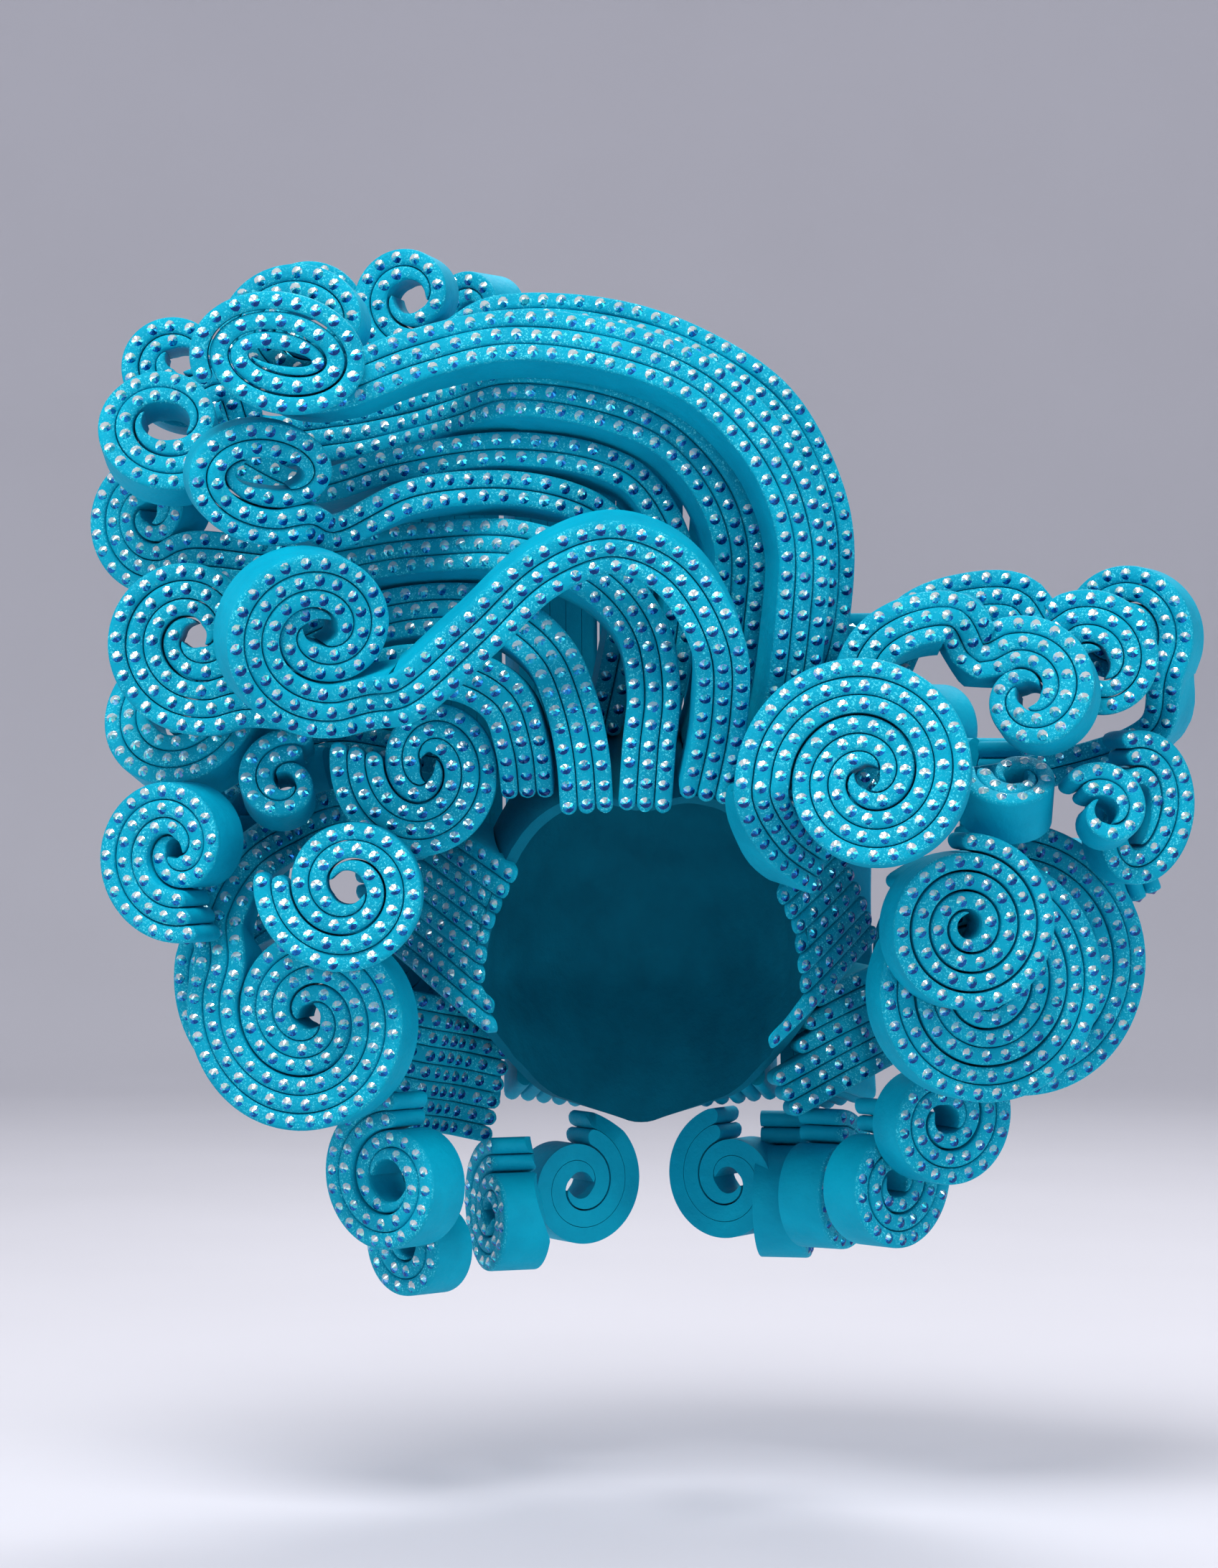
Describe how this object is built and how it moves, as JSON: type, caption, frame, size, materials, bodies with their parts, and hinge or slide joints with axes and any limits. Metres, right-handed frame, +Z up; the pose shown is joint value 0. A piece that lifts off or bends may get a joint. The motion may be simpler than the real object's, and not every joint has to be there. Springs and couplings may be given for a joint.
{
  "type": "foam wig",
  "caption": "Tall costume wig of stiff foam strips set on edge, wound into curls and arched over the brow, with an open hollow underneath for the head.",
  "frame": {"origin": "where the crown of the head meets the inside of the cap", "axes": "+Z up, -Y the way the wearer faces, +X to the right in the front view"},
  "size_m": [0.4788, 0.2689, 0.4508],
  "materials": {
    "foam": "satin",
    "cap_foam": "matte",
    "stones": "polished"
  },
  "bodies": {
    "root": {"cap": "cap_foam", "curl_back_1": "foam", "curl_back_2": "foam", "curl_back_3": "foam", "curl_back_4": "foam", "curl_back_5": "foam", "curl_back_6": "foam", "curl_left_1": "foam", "curl_left_10": "foam", "curl_left_11": "foam", "curl_left_12": "foam", "curl_left_13": "foam", "curl_left_14": "foam", "curl_left_15": "foam", "curl_left_2": "foam", "curl_left_3": "foam", "curl_left_4": "foam", "curl_left_5": "foam", "curl_left_6": "foam", "curl_left_7": "foam", "curl_left_8": "foam", "curl_left_9": "foam", "curl_right_1": "foam", "curl_right_10": "foam", "curl_right_11": "foam", "curl_right_12": "foam", "curl_right_13": "foam", "curl_right_14": "foam", "curl_right_15": "foam", "curl_right_16": "foam", "curl_right_17": "foam", "curl_right_2": "foam", "curl_right_3": "foam", "curl_right_4": "foam", "curl_right_5": "foam", "curl_right_6": "foam", "curl_right_7": "foam", "curl_right_8": "foam", "curl_right_9": "foam", "hairline_1": "foam", "hairline_2": "foam", "hairline_3": "foam", "nape_left": "foam", "nape_right": "foam", "pompadour_1": "foam", "pompadour_2": "foam", "pompadour_3": "foam", "pompadour_4": "foam", "pompadour_5": "foam", "sideburn_left": "foam", "sideburn_right": "foam", "sweep_1": "foam", "sweep_2": "foam", "sweep_3": "foam", "sweep_4": "foam", "sweep_5": "foam", "swoosh": "foam"}
  },
  "joints": []
}
